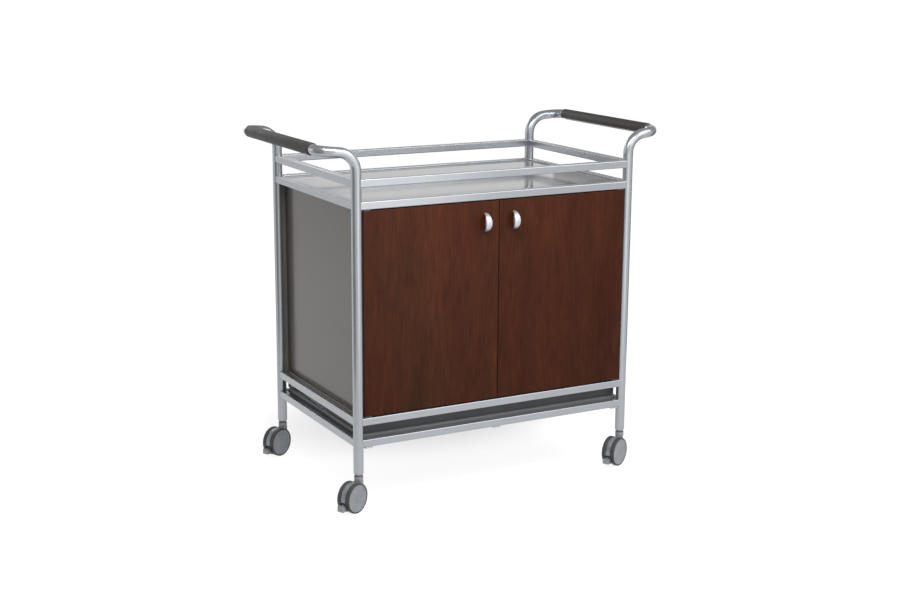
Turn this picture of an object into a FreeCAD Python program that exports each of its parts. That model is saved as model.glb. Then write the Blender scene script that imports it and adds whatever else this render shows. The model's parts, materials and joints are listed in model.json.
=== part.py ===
"""Microwave cart: a two-door cabinet in a tubular frame, on four twin-wheel casters.

Millimetres. +X runs to the right along the doors, +Y to the back and +Z up. The origin lies on
the floor, in the middle of the cart's bounding box.
"""

import FreeCAD, Part
import math
import os
import re

import Sketcher

V = FreeCAD.Vector

DIMENSIONS = (
    # frame
    ("span", 762, "between post centres, left to right"),
    ("depth", 486, "between post centres, front to back"),
    ("post_radius", 12.5, "outside of the round tube"),
    ("post_wall", 1.5, "wall of the round tube"),
    ("post_bottom", 92, "lower end of a leg"),
    ("handle_neck", 870, "where a leg's axis meets the handle's side run"),
    ("handle_top", 879, "axis of the push handle"),
    ("handle_reach", 90, "push handle outside the post centres"),
    ("shoulder_bend", 48, "bend between leg and side run"),
    ("handle_bend", 40, "bend between side run and push handle"),
    ("rail_size", 19, "square tube, outside"),
    ("rail_corner", 2.5, "rounded edges of the square tube"),
    ("rail_wall", 1.2, "wall of the square tube"),
    ("foot_level", 176, "top of the lowest rails"),
    ("base_level", 230, "top of the rails under the doors"),
    ("counter_level", 756, "top of the rails round the counter"),
    ("guard_level", 809, "top of the guard rails"),
    # grips
    ("grip_radius", 15, "outside of the soft sleeve"),
    ("grip_length", 398, "sleeve along the push handle"),
    ("grip_slit", 60, "degrees of the tube left bare underneath"),
    ("slit_lean", 20, "degrees the slit leans inward from straight down"),
    ("overcut", 1.5, "how far a cutting sector stands out of its sleeve"),
    ("fit_gap", 0.05, "radial play of a sleeve, pin or axle"),
    # cabinet
    ("board", 16, "carcass boards and counter"),
    ("side_inset", 13.5, "side panel's outer face inside the post centres"),
    ("front_inset", 12, "front edge of the carcass behind the post centres"),
    ("back_inset", 16, "back edge of the side panels before the post centres"),
    ("counter_drop", 4.5, "counter surface below the rail top"),
    ("counter_gap", 1.5, "gap round the counter"),
    ("counter_round", 0.8, "rounded upper edges of the counter"),
    ("rear_thickness", 4, "rear panel"),
    ("rear_margin", 5, "rear panel's edge inside the post centres, between the rails"),
    ("rear_clear", 0.5, "rear panel's wide part above the lower rails"),
    ("base_board_top", 185, "upper face of the thick base board"),
    ("base_nose", 8, "rounded upper edges of the base board"),
    ("plinth_setback", 2, "front plinth board behind the base board's front edge"),
    ("shelf_top", 486, "upper face of the shelf"),
    ("shelf_setback", 30, "front edge of the shelf behind the post centres"),
    ("shelf_play", 1, "gap beside and behind the shelf"),
    ("pin_radius", 2.5, "shelf pins"),
    ("pin_depth", 9, "shelf pin in its panel and out of it"),
    ("pin_pitch", 32, "between the pin holes of a column"),
    ("pin_column", 50, "pin columns from the panel's edges"),
    # doors
    ("door_thickness", 18, "door leaf"),
    ("door_face", 8, "door front before the post centres"),
    ("door_edge", 14, "outer door edge inside the post centres"),
    ("door_gap", 2.8, "gap above and below a door"),
    ("seam", 1.6, "gap between the doors"),
    ("door_round", 1.2, "rounded front edges of a door"),
    ("hinge_inset", 19, "hinge axis inside the post centres"),
    ("hinge_forward", 3.5, "hinge axis before the post centres"),
    ("leaf_length", 20, "hinge leaf from the door edge"),
    ("leaf_width", 13, "hinge leaf"),
    ("leaf_margin", 1, "hinge leaf inside the door's edges"),
    ("leaf_thickness", 1.25, "hinge leaf"),
    ("hinge_pin_radius", 2, "hinge pin"),
    ("hinge_pin_depth", 9, "hinge pin inside the door"),
    ("pull_offset", 40, "pull from the seam"),
    ("pull_height", 683, "middle of the pull"),
    ("pull_radius", 23.5, "outside of the bow"),
    ("pull_thickness", 12, "thickness of the bow at its middle"),
    ("hollow_back", 10, "axis of the bow's hollow behind the door front"),
    ("pull_half_width", 8.5, "half the bow's width at its middle"),
    ("pull_lens", 56, "arcs that taper the bow to its ends"),
    ("foot_radius", 4, "foot of a pull"),
    ("foot_spread", 18.5, "foot from the middle of the pull"),
    ("foot_length", 8, "foot of a pull"),
    ("screw_radius", 2, "thread of the screws"),
    ("screw_play", 0.25, "clearance hole round a screw"),
    ("bore_floor", 1.5, "blind end of the screw bore in a pull's foot"),
    ("tip_gap", 1.5, "between a screw's tip and the blind end"),
    ("head_radius", 4, "head of the screws"),
    ("head_height", 2.4, "head of the screws"),
    ("catch_width", 40, "magnetic catch"),
    ("catch_height", 12, "magnetic catch"),
    ("catch_depth", 14, "magnetic catch"),
    ("catch_offset", 34, "middle of a catch from the seam"),
    ("catch_gap", 0.4, "between catch and strike plate"),
    ("strike_thickness", 1.2, "strike plate"),
    # tabs under the lowest rails
    ("tab_width", 20, "mounting tab"),
    ("tab_length", 46, "mounting tab"),
    ("tab_thickness", 3.5, "mounting tab"),
    ("tab_inset", 25, "outer tabs inside the post centres"),
    ("tab_forward", 8.5, "outer end of a tab outside the post centres"),
    ("tab_screw_back", 28, "tab screw inside the post centres, front to back"),
    ("tab_screw_length", 16, "tab screw in the base board"),
    # casters
    ("caster_yaw", 27, "degrees each caster is turned at rest"),
    ("caster_trail", 25, "axle behind the swivel axis"),
    ("wheel_radius", 37.5, "tread"),
    ("wheel_width", 12, "one wheel"),
    ("wheel_shoulder", 2, "rounded tread edge"),
    ("wheel_spread", 6.25, "inner face of a wheel from the caster's middle"),
    ("hub_radius", 34.2, "recessed hub face"),
    ("hub_recess", 0.8, "depth of the recessed hub face"),
    ("axle_radius", 4, "axle"),
    ("axle_half", 16.2, "half the axle's length"),
    ("bore_depth", 10.3, "blind bore of a wheel"),
    ("hood_radius", 36.3, "hood between the wheels"),
    ("hood_half", 5.85, "half the hood's thickness"),
    ("hood_bottom", 33, "lower edge of the hood"),
    ("boss_radius", 11.5, "axle boss"),
    ("collar_radius", 11.2, "swivel collar"),
    ("collar_bottom", 73.5, "lower face of the swivel collar"),
    ("collar_top", 84.8, "upper face of the swivel collar"),
    ("collar_gap", 0.3, "between swivel collar and stem flange"),
    ("neck_bottom", 48, "lower edge of the neck under the collar"),
    ("stem_radius", 4, "caster stem"),
    ("stem_bottom", 56, "lower end of the stem"),
    ("stem_top", 119, "upper end of the stem"),
    ("stem_flange", 10, "flange on the stem, under the socket"),
    ("socket_shoulder", 11.5, "socket's tapered rim where it meets the leg"),
    ("socket_rim", 9.5, "socket's tapered rim at its lower end"),
    ("socket_bottom", 87.5, "lower end of a socket"),
    ("socket_top", 124, "upper end of a socket"),
    ("lever_half", 1.8, "half the thickness of the brake lever's arm"),
    ("lever_hub", 8.5, "brake lever round the axle"),
    ("lever_gap", 0.4, "play of the brake lever in its slot"),
    ("lever_drop", 21.6, "degrees the lever's arm points down at rest"),
    ("lever_arm", 10, "height of the lever's arm"),
    ("lever_reach", 41.5, "end of the lever's arm from the axle"),
    ("lever_travel", 12, "degrees the pedal moves down"),
    ("pedal_half", 9, "half the pedal's width"),
    ("pedal_reach", 47.5, "outer face of the pedal from the axle"),
    ("pedal_inner", 28, "inner end of the pedal from the axle"),
    ("pedal_bottom", 13, "lower face of the pedal"),
    ("pedal_top", 27, "upper face of the pedal"),
    ("pedal_clear", 38.4, "pedal's hollow round the wheels"),
    ("pedal_round", 1.5, "rounded pedal edges"),
)

FRONT_TO_BACK = ("front", "back")
LEVELS = ("foot", "base", "counter", "guard")
SIDES = {"left": -1, "right": 1}
PIN_ROWS = 7
ROWS_BELOW_SHELF = 3
BOX_EDGES = 12
SAME = 0.01  # lengths that differ by less are equal

# The casters trail to the left and forward, so the posts stand behind the box's middle.
MID_Y = "caster_trail * sin(caster_yaw)"
POST_Y = {"front": f"{MID_Y} - depth / 2", "back": f"{MID_Y} + depth / 2"}
POST_X = {"left": "-span / 2", "right": "span / 2"}
SIDE_FACE = "(span / 2 - side_inset)"
CARCASS_FRONT = f"{POST_Y['front']} + front_inset"
CARCASS_BACK = f"{POST_Y['back']} - back_inset"
COUNTER_TOP = "counter_level - counter_drop"
COUNTER_BOTTOM = f"{COUNTER_TOP} - board"
DOOR_BOTTOM = "base_level + door_gap"
DOOR_TOP = "counter_level - rail_size - door_gap"
DOOR_BACK = f"{POST_Y['front']} - door_face + door_thickness"
DOOR_FRONT = f"{POST_Y['front']} - door_face"
HINGE_Y = f"{POST_Y['front']} - hinge_forward"

doc = FreeCAD.newDocument("microwave_cart")
sheet = doc.addObject("Spreadsheet::Sheet", "cart")
ALIAS = re.compile(r"\b(" + "|".join(name for name, _, _ in DIMENSIONS) + r")\b")
nodes = []


# --- dimensions and placement ----------------------------------------------------------------

def fill_sheet():
    """One row per driving dimension: name, number, meaning."""
    for row, (name, size, meaning) in enumerate(DIMENSIONS, start=1):
        sheet.set(f"A{row}", name)
        sheet.set(f"B{row}", str(size))
        sheet.set(f"C{row}", meaning)
        sheet.setAlias(f"B{row}", name)
    doc.recompute()


def cells(formula):
    """The formula with each dimension's name turned into its cell."""
    return ALIAS.sub(r"cart.\1", formula)


def number(formula):
    return float(sheet.evalExpression(cells(formula)))


def bind(thing, prop, formula):
    thing.setExpression(prop, cells(formula))


def place(thing, x="0", y="0", z="0", turn=None):
    """Bind a placement: a base point and, if turn is given, a rotation about Z."""
    if turn is not None:
        thing.Placement.Rotation = FreeCAD.Rotation(V(0, 0, 1), 1)
        bind(thing, "Placement.Rotation.Angle", turn)
    for letter, formula in zip("xyz", (x, y, z)):
        bind(thing, f"Placement.Base.{letter}", formula)
    return thing


def node(thing, name):
    """Register a finished sub-part under its own name."""
    thing.Label = name
    nodes.append(thing)
    return thing


# --- primitives and booleans -----------------------------------------------------------------

def block(name, x, y, z):
    """A box between two formulas along each axis."""
    box = doc.addObject("Part::Box", name)
    for side, (low, high) in zip(("Length", "Width", "Height"), (x, y, z)):
        bind(box, side, f"({high}) - ({low})")
    return place(box, x[0], y[0], z[0])


def rod(name, axis, radius, length, x="0", y="0", z="0", sweep=None):
    """A cylinder from a point along +X, +Y or +Z; sweep limits it to a sector in degrees."""
    turns = {"x": (V(0, 1, 0), 90), "y": (V(1, 0, 0), -90), "z": (V(0, 0, 1), 0)}
    cylinder = doc.addObject("Part::Cylinder", name)
    cylinder.Placement.Rotation = FreeCAD.Rotation(*turns[axis])
    bind(cylinder, "Radius", radius)
    bind(cylinder, "Height", length)
    if sweep is not None:
        bind(cylinder, "Angle", sweep)
    return place(cylinder, x, y, z)


def cone(name, low_radius, high_radius, height, x, y, z):
    """An upright frustum from a point up."""
    frustum = doc.addObject("Part::Cone", name)
    bind(frustum, "Radius1", low_radius)
    bind(frustum, "Radius2", high_radius)
    bind(frustum, "Height", height)
    return place(frustum, x, y, z)


def mirrored(formula, side):
    """The formula for the right side, and its negative for the left."""
    return f"({formula}) * {SIDES[side]}"


def group(name, pieces):
    compound = doc.addObject("Part::Compound", name)
    compound.Links = pieces
    return compound


def fuse(name, pieces):
    union = doc.addObject("Part::MultiFuse", name)
    union.Shapes = pieces
    return union


def cut(name, base, tools):
    difference = doc.addObject("Part::Cut", name)
    difference.Base = base
    difference.Tool = tools[0] if len(tools) == 1 else group(f"{name}_tools", tools)
    return difference


def common(name, pieces):
    shared = doc.addObject("Part::MultiCommon", name)
    shared.Shapes = pieces
    return shared


# --- bodies with sketches --------------------------------------------------------------------

def new_body(name, x="0", y="0", z="0", turn=None):
    return place(doc.addObject("PartDesign::Body", name), x, y, z, turn)


def new_sketch(body, role):
    """A sketch on one of the body's own origin planes."""
    sketch = body.newObject("Sketcher::SketchObject", f"{body.Name}_sketch")
    plane = next(part for part in body.Origin.OriginFeatures if part.Role == role)
    sketch.AttachmentSupport = [(plane, "")]
    sketch.MapMode = "FlatFace"
    return sketch


def pin_down(sketch, direction, line, formula):
    """Fix where a line lies: on a sketch axis, or at a signed distance from the origin."""
    if formula == "0":
        axis = -2 if direction == "DistanceX" else -1
        sketch.addConstraint(Sketcher.Constraint("PointOnObject", line, 1, axis))
        return
    index = sketch.addConstraint(
        Sketcher.Constraint(direction, -1, 1, line, 1, number(formula)))
    bind(sketch, f"Constraints[{index}]", formula)


def outline(sketch, corners):
    """A closed outline of level and upright lines through corners given as formula pairs."""
    points = [V(number(across), number(up), 0) for across, up in corners]
    count = len(corners)
    for line in range(count):
        sketch.addGeometry(Part.LineSegment(points[line], points[(line + 1) % count]), False)
    for line in range(count):
        sketch.addConstraint(Sketcher.Constraint("Coincident", line, 2, (line + 1) % count, 1))
    for line, (across, up) in enumerate(corners):
        if corners[(line + 1) % count][0] == across:
            sketch.addConstraint(Sketcher.Constraint("Vertical", line))
            pin_down(sketch, "DistanceX", line, across)
        else:
            sketch.addConstraint(Sketcher.Constraint("Horizontal", line))
            pin_down(sketch, "DistanceY", line, up)


def rectangle(sketch, across, up):
    """A rectangle between two formulas in each direction."""
    outline(sketch, [(across[0], up[0]), (across[1], up[0]), (across[1], up[1]), (across[0], up[1])])


def circle(sketch, radius, across, up):
    """A circle whose radius and centre follow formulas."""
    centre = V(number(across), number(up), 0)
    ring = sketch.addGeometry(Part.Circle(centre, V(0, 0, 1), number(radius)), False)
    size = sketch.addConstraint(Sketcher.Constraint("Radius", ring, number(radius)))
    bind(sketch, f"Constraints[{size}]", radius)
    for direction, formula in (("DistanceX", across), ("DistanceY", up)):
        index = sketch.addConstraint(
            Sketcher.Constraint(direction, -1, 1, ring, 3, number(formula)))
        bind(sketch, f"Constraints[{index}]", formula)


def pad(body, sketch, length, midplane=False, backwards=False):
    feature = body.newObject("PartDesign::Pad", f"{body.Name}_pad")
    feature.Profile = sketch
    bind(feature, "Length", length)
    feature.Midplane = midplane
    feature.Reversed = backwards
    doc.recompute()
    return feature


def pocket_through(body, sketch):
    """Cut the sketch right through the body, both ways."""
    feature = body.newObject("PartDesign::Pocket", f"{body.Name}_cut")
    feature.Profile = sketch
    feature.Type = "ThroughAll"
    feature.Midplane = True
    doc.recompute()
    return feature


def round_edges(body, base, radius, wanted):
    """Fillet the base feature's straight edges whose two ends pass the wanted test."""
    names = []
    for index, edge in enumerate(base.Shape.Edges, start=1):
        ends = [vertex.Point for vertex in edge.Vertexes]
        if len(ends) == 2 and wanted(*ends):
            names.append(f"Edge{index}")
    feature = body.newObject("PartDesign::Fillet", f"{body.Name}_round")
    feature.Base = (base, names)
    bind(feature, "Radius", radius)
    doc.recompute()
    return feature


# --- frame -----------------------------------------------------------------------------------

def rounded_path(name, corners, radii):
    """Straight runs joined by tangent arcs, one radius for each inner corner."""
    edges = []
    start = corners[0]
    for before, corner, after, radius in zip(corners, corners[1:], corners[2:], radii):
        back = (before - corner).normalize()
        ahead = (after - corner).normalize()
        half_angle = back.getAngle(ahead) / 2
        inward = (back + ahead).normalize()
        first = corner + back * (radius / math.tan(half_angle))
        last = corner + ahead * (radius / math.tan(half_angle))
        middle = corner + inward * (radius / math.sin(half_angle) - radius)
        edges.append(Part.LineSegment(start, first).toShape())
        edges.append(Part.Arc(first, middle, last).toShape())
        start = last
    edges.append(Part.LineSegment(start, corners[-1]).toShape())
    path = doc.addObject("Part::Feature", name)
    path.Shape = Part.Wire(edges)
    return path


def swept_rod(name, path, radius, side):
    """A round bar along the path, which starts at the foot of the front leg."""
    ring = doc.addObject("Part::Circle", f"{name}_ring")
    bind(ring, "Radius", radius)
    place(ring, POST_X[side], POST_Y["front"], "post_bottom")
    bar = doc.addObject("Part::Sweep", name)
    bar.Sections = [ring]
    bar.Spine = (path, [f"Edge{index + 1}" for index in range(len(path.Shape.Edges))])
    bar.Solid = True
    return bar


def end_frame(side):
    """Front leg, push handle and rear leg: one round tube with four bends."""
    post = number(POST_X[side])
    grip = number(f"{POST_X[side]} + {mirrored('handle_reach', side)}")
    front, back = (number(POST_Y[row]) for row in FRONT_TO_BACK)
    bottom, neck, top = (number(name) for name in ("post_bottom", "handle_neck", "handle_top"))
    corners = [V(post, front, bottom), V(post, front, neck), V(grip, front, top),
               V(grip, back, top), V(post, back, neck), V(post, back, bottom)]
    shoulder, bend = number("shoulder_bend"), number("handle_bend")
    path = rounded_path(f"end_path_{side}", corners, [shoulder, bend, bend, shoulder])
    outer = swept_rod(f"end_outer_{side}", path, "post_radius", side)
    bore = swept_rod(f"end_bore_{side}", path, "post_radius - post_wall", side)
    node(cut(f"end_frame_{side}", outer, [bore]), f"end_frame_{side}")


def grip(side):
    """A soft sleeve on the push handle, with an open slit on its inner underside."""
    x = f"{POST_X[side]} + {mirrored('handle_reach', side)}"
    y = f"{MID_Y} - grip_length / 2"
    sleeve = rod(f"grip_sleeve_{side}", "y", "grip_radius", "grip_length", x, y, "handle_top")
    bore = rod(f"grip_bore_{side}", "y", "post_radius + fit_gap", "grip_length", x, y, "handle_top")
    slit = rod(f"grip_slit_{side}", "y", "grip_radius + overcut", "grip_length", x, y, "handle_top",
               sweep="grip_slit")
    start = number(f"90 + {mirrored('slit_lean', side)} - grip_slit / 2")
    slit.Placement.Rotation = slit.Placement.Rotation * FreeCAD.Rotation(V(0, 0, 1), start)
    node(cut(f"grip_{side}", sleeve, [bore, slit]), f"grip_{side}")


def rail(name, along, x, y, z):
    """A square tube with rounded edges between two posts, coped round them."""
    body = new_body(name, x, y, z)
    plane = {"x": "YZ_Plane", "y": "XZ_Plane"}[along]
    length = {"x": "span", "y": "depth - rail_size"}[along]
    shell = new_sketch(body, plane)
    rectangle(shell, ("-rail_size / 2", "rail_size / 2"), ("-rail_size / 2", "rail_size / 2"))
    bar = pad(body, shell, length, midplane=True)
    round_edges(body, bar, "rail_corner", lambda a, b: (a - b).Length > number("depth / 2"))
    bore = new_sketch(body, plane)
    inner = ("rail_wall - rail_size / 2", "rail_size / 2 - rail_wall")
    rectangle(bore, inner, inner)
    pocket_through(body, bore)
    copes = new_sketch(body, "XY_Plane")
    for sign in ("-", ""):
        centre = {"x": (f"{sign}span / 2", "0"), "y": ("0", f"{sign}depth / 2")}[along]
        circle(copes, "post_radius", *centre)
    pocket_through(body, copes)
    return body


def rails():
    """Four levels of rails: eight long ones, and four welded to each end frame."""
    for level in LEVELS:
        z = f"{level}_level - rail_size / 2"
        for row in FRONT_TO_BACK:
            name = f"{row}_{level}_rail"
            node(rail(name, "x", "0", POST_Y[row], z), name)
    for side in SIDES:
        bars = [rail(f"{side}_{level}_bar", "y", POST_X[side], MID_Y, f"{level}_level - rail_size / 2")
                for level in LEVELS]
        node(group(f"side_rails_{side}", bars), f"side_rails_{side}")


def mounting_tabs():
    """Flat tabs under the lowest long rails, screwed up into the base board."""
    bottom = "foot_level - rail_size - tab_thickness"
    tabs, screws, pilots = [], [], []
    spots = {"left": "tab_inset - span / 2", "middle": "0", "right": "span / 2 - tab_inset"}
    reach = {"front": (f"{POST_Y['front']} - tab_forward", f"{POST_Y['front']} - tab_forward + tab_length"),
             "back": (f"{POST_Y['back']} + tab_forward - tab_length", f"{POST_Y['back']} + tab_forward")}
    screw_y = {"front": f"{POST_Y['front']} + tab_screw_back", "back": f"{POST_Y['back']} - tab_screw_back"}
    for row in FRONT_TO_BACK:
        y, hole_y = reach[row], screw_y[row]
        for spot, x in spots.items():
            name = f"{row}_{spot}_tab"
            plate = block(f"{name}_plate", (f"{x} - tab_width / 2", f"{x} + tab_width / 2"),
                          y, (bottom, f"{bottom} + tab_thickness"))
            hole = rod(f"{name}_hole", "z", "screw_radius + screw_play", "tab_thickness",
                       x, hole_y, bottom)
            tabs.append(cut(name, plate, [hole]))
            head = rod(f"{name}_head", "z", "head_radius", "head_height",
                       x, hole_y, f"{bottom} - head_height")
            shank = rod(f"{name}_shank", "z", "screw_radius - fit_gap", "tab_thickness + tab_screw_length",
                        x, hole_y, bottom)
            screws.append(fuse(f"{name}_screw", [head, shank]))
            pilots.append(rod(f"{name}_pilot", "z", "screw_radius", "tab_screw_length", x, hole_y,
                              "foot_level - rail_size"))
    node(group("mounting_tabs", tabs), "mounting_tabs")
    node(group("tab_screws", screws), "tab_screws")
    return pilots


# --- cabinet ---------------------------------------------------------------------------------

def board(name, x, y, height, thickness, radius):
    """A level board with its upper edges rounded."""
    body = new_body(f"{name}_slab", "0", "0", height)
    sketch = new_sketch(body, "XY_Plane")
    rectangle(sketch, x, y)
    slab = pad(body, sketch, thickness)
    top = number(thickness)
    round_edges(body, slab, radius, lambda a, b: abs(a.z - top) < SAME and abs(b.z - top) < SAME)
    return body


def counter():
    """The glossy top, let into the counter rails with an even gap."""
    half_x = "(span / 2 - rail_size / 2 - counter_gap)"
    half_y = "(depth / 2 - rail_size / 2 - counter_gap)"
    slab = board("counter_panel", (f"-{half_x}", half_x), (f"{MID_Y} - {half_y}", f"{MID_Y} + {half_y}"),
                 COUNTER_BOTTOM, "board", "counter_round")
    node(slab, "counter_panel")


def base_board(pilots):
    """The thick board in the lowest ring of rails, drilled for the tab screws."""
    slab = board("base_board", (f"-{SIDE_FACE}", SIDE_FACE), (CARCASS_FRONT, CARCASS_BACK),
                 "foot_level - rail_size", "base_board_top - foot_level + rail_size", "base_nose")
    node(cut("base_board", slab, pilots), "base_board")


def plinth():
    """Four boards between the base board and the cabinet floor."""
    z = ("base_board_top", "base_level - board")
    front = f"{CARCASS_FRONT} + plinth_setback"
    long_boards = [block("plinth_front", (f"-{SIDE_FACE}", SIDE_FACE), (front, f"{front} + board"), z),
                   block("plinth_back", (f"-{SIDE_FACE}", SIDE_FACE),
                         (f"{CARCASS_BACK} - board", CARCASS_BACK), z)]
    between = (f"{front} + board", f"{CARCASS_BACK} - board")
    short_boards = [block("plinth_left", (f"-{SIDE_FACE}", f"board - {SIDE_FACE}"), between, z),
                    block("plinth_right", (f"{SIDE_FACE} - board", SIDE_FACE), between, z)]
    node(group("plinth_long_boards", long_boards), "plinth_long_boards")
    node(group("plinth_short_boards", short_boards), "plinth_short_boards")


def side_panel(side):
    """An upright side with two columns of shelf-pin holes in its inner face."""
    width = "depth - front_inset - back_inset"
    body = new_body(f"side_panel_{side}", mirrored("span / 2 - side_inset - board", side),
                    CARCASS_FRONT, "base_level")
    face = new_sketch(body, "YZ_Plane")
    rectangle(face, ("0", width), ("0", f"{COUNTER_BOTTOM} - base_level"))
    pad(body, face, "board", backwards=side == "left")
    holes = new_sketch(body, "YZ_Plane")
    lowest = f"shelf_top - board - pin_radius - base_level - {ROWS_BELOW_SHELF} * pin_pitch"
    for column in ("pin_column", f"{width} - pin_column"):
        circle(holes, "pin_radius", column, lowest)
    drilled = body.newObject("PartDesign::Pocket", f"{body.Name}_pin_holes")
    drilled.Profile = holes
    drilled.Reversed = side == "right"
    bind(drilled, "Length", "pin_depth")
    doc.recompute()
    rows = body.newObject("PartDesign::LinearPattern", f"{body.Name}_pin_rows")
    rows.Originals = [drilled]
    rows.Direction = (holes, ["V_Axis"])
    rows.Occurrences = PIN_ROWS
    bind(rows, "Length", f"{PIN_ROWS - 1} * pin_pitch")
    body.Tip = rows
    doc.recompute()
    node(body, f"side_panel_{side}")


def rear_panel():
    """One thin sheet: between the rails it reaches out behind the side panels' back edges."""
    body = new_body("rear_panel", "0", f"{CARCASS_BACK} + rear_thickness", "0")
    face = new_sketch(body, "XZ_Plane")
    wide, step = "(span / 2 - rear_margin)", "base_level + rear_clear"
    outline(face, [(f"-{SIDE_FACE}", "base_board_top"), (SIDE_FACE, "base_board_top"), (SIDE_FACE, step),
                   (wide, step), (wide, COUNTER_BOTTOM), (f"-{wide}", COUNTER_BOTTOM),
                   (f"-{wide}", step), (f"-{SIDE_FACE}", step)])
    pad(body, face, "rear_thickness")
    node(body, "rear_panel")


def carcass():
    """Floor and the adjustable shelf on its four pins."""
    z = ("base_level - board", "base_level")
    floor = block("cabinet_floor", (f"-{SIDE_FACE}", SIDE_FACE), (CARCASS_FRONT, CARCASS_BACK), z)
    node(floor, "cabinet_floor")
    inner = "(span / 2 - side_inset - board)"
    shelf = block("shelf", (f"shelf_play - {inner}", f"{inner} - shelf_play"),
                  (f"{POST_Y['front']} + shelf_setback", f"{CARCASS_BACK} - shelf_play"),
                  ("shelf_top - board", "shelf_top"))
    node(shelf, "shelf")
    pins = []
    for side in SIDES:
        x = f"{mirrored(inner, side)} - pin_depth"
        for row, y in (("front", f"{CARCASS_FRONT} + pin_column"), ("back", f"{CARCASS_BACK} - pin_column")):
            pins.append(rod(f"shelf_pin_{row}_{side}", "x", "pin_radius - fit_gap", "2 * pin_depth",
                            x, y, "shelf_top - board - pin_radius"))
    node(group("shelf_pins", pins), "shelf_pins")


# --- doors -----------------------------------------------------------------------------------

def span_x(side, near, far):
    """Two distances from the middle plane as a low-to-high pair on the given side."""
    pair = (mirrored(near, side), mirrored(far, side))
    return pair if side == "right" else pair[::-1]


def hinge_pin(name, side, end, radius):
    """A hinge pin, or its bore, in the upper or lower end of a door."""
    x = mirrored("span / 2 - hinge_inset", side)
    if end == "top":
        low, high = f"{DOOR_TOP} - hinge_pin_depth", "counter_level - rail_size - leaf_thickness"
    else:
        low, high = "base_level + leaf_thickness", f"{DOOR_BOTTOM} + hinge_pin_depth"
    return rod(name, "z", radius, f"({high}) - ({low})", x, HINGE_Y, low)


def hinge_leaf(name, side, low):
    """A thin leaf at a door's outer corner, from its lower face up."""
    x = span_x(side, "span / 2 - door_edge - leaf_length", "span / 2 - door_edge - leaf_margin")
    y = (f"{DOOR_FRONT} + leaf_margin", f"{DOOR_FRONT} + leaf_margin + leaf_width")
    return block(name, x, y, (low, f"{low} + leaf_thickness"))


def hinge_plates():
    """The four fixed leaves on the rails, each with its pin."""
    plates = []
    for side in SIDES:
        for end, low in (("top", "counter_level - rail_size - leaf_thickness"), ("bottom", "base_level")):
            leaf = hinge_leaf(f"plate_{end}_{side}", side, low)
            pin = hinge_pin(f"plate_pin_{end}_{side}", side, end, "hinge_pin_radius")
            plates.append(fuse(f"hinge_plate_{end}_{side}", [leaf, pin]))
    node(group("hinge_plates", plates), "hinge_plates")


def door(side):
    """A veneered leaf with rounded front edges, screw holes and two pivot bores."""
    body = new_body(f"door_leaf_{side}", "0", DOOR_BACK, DOOR_BOTTOM)
    face = new_sketch(body, "XZ_Plane")
    rectangle(face, span_x(side, "seam / 2", "span / 2 - door_edge"), ("0", f"{DOOR_TOP} - ({DOOR_BOTTOM})"))
    slab = pad(body, face, "door_thickness")
    front = -number("door_thickness")
    round_edges(body, slab, "door_round",
                lambda a, b: abs(a.y - front) < SAME and abs(b.y - front) < SAME)
    holes = new_sketch(body, "XZ_Plane")
    for sign in "+-":
        circle(holes, "screw_radius + screw_play", mirrored("pull_offset", side),
               f"pull_height {sign} foot_spread - ({DOOR_BOTTOM})")
    pocket_through(body, holes)
    bores = [hinge_pin(f"door_bore_{end}_{side}", side, end, "hinge_pin_radius + fit_gap")
             for end in ("top", "bottom")]
    node(cut(f"door_{side}", body, bores), f"door_{side}")


def door_leaves(side):
    """The moving hinge leaves on a door's upper and lower edge."""
    leaves = []
    for end, low in (("top", DOOR_TOP), ("bottom", f"{DOOR_BOTTOM} - leaf_thickness")):
        leaf = hinge_leaf(f"leaf_{end}_{side}", side, low)
        bore = hinge_pin(f"leaf_bore_{end}_{side}", side, end, "hinge_pin_radius + fit_gap")
        leaves.append(cut(f"door_leaf_plate_{end}_{side}", leaf, [bore]))
    node(group(f"hinge_leaves_{side}", leaves), f"hinge_leaves_{side}")


def pull(side):
    """A crescent bow: thickest and widest at its middle, tapered to both ends, on two feet."""
    x = mirrored("pull_offset", side)
    low = f"{x} - pull_half_width"
    disc = rod(f"pull_disc_{side}", "x", "pull_radius", "2 * pull_half_width", low, DOOR_FRONT,
               "pull_height")
    hollow = rod(f"pull_hollow_{side}", "x", "pull_radius - pull_thickness + hollow_back",
                 "2 * pull_half_width", low, f"{DOOR_FRONT} + hollow_back", "pull_height")
    crescent = cut(f"pull_crescent_{side}", disc, [hollow])
    lens = [rod(f"pull_arc_{side}_{edge}", "y", "pull_lens", "pull_radius",
                f"{x} {sign} (pull_lens - pull_half_width)", f"{DOOR_FRONT} - pull_radius", "pull_height")
            for edge, sign in (("one", "+"), ("two", "-"))]
    bow = common(f"pull_bow_{side}", [crescent] + lens)
    feet, bores = [], []
    for sign, end in (("+", "upper"), ("-", "lower")):
        z = f"pull_height {sign} foot_spread"
        y = f"{DOOR_FRONT} - foot_length"
        feet.append(rod(f"pull_foot_{side}_{end}", "y", "foot_radius", "foot_length", x, y, z))
        bores.append(rod(f"pull_bore_{side}_{end}", "y", "screw_radius", "foot_length - bore_floor", x,
                         f"{y} + bore_floor", z))
    node(cut(f"pull_{side}", fuse(f"pull_solid_{side}", [bow] + feet), bores), f"pull_{side}")


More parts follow.
